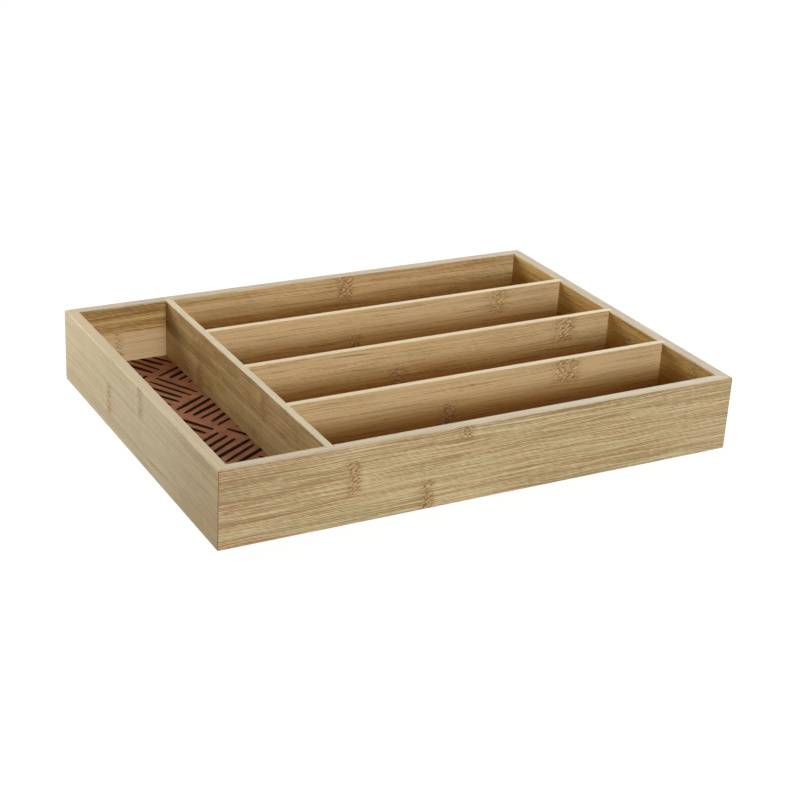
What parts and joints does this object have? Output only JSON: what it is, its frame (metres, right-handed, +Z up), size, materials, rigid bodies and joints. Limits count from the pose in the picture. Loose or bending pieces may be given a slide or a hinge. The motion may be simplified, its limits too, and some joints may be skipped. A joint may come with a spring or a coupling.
{
  "type": "cutlery tray",
  "caption": "Shallow bamboo drawer tray with mitred walls, one crosswise and several lengthwise compartments over a printed floor.",
  "frame": {"origin": "middle of the underside, on the plane that the walls stand on", "axes": "+X along the long walls away from the crosswise compartment, -Y is the front, +Z up out of the open top"},
  "size_m": [0.358, 0.264, 0.05],
  "materials": {
    "bamboo": "satin clear oil",
    "fibreboard": "matt, unfinished",
    "printed_paper": "matt print"
  },
  "bodies": {
    "root": {"front_wall": "bamboo", "back_wall": "bamboo", "left_wall": "bamboo", "right_wall": "bamboo", "cross_divider": "bamboo", "front_divider": "bamboo", "middle_divider": "bamboo", "rear_divider": "bamboo", "base_board": "fibreboard", "printed_liner": "printed_paper"}
  },
  "joints": []
}
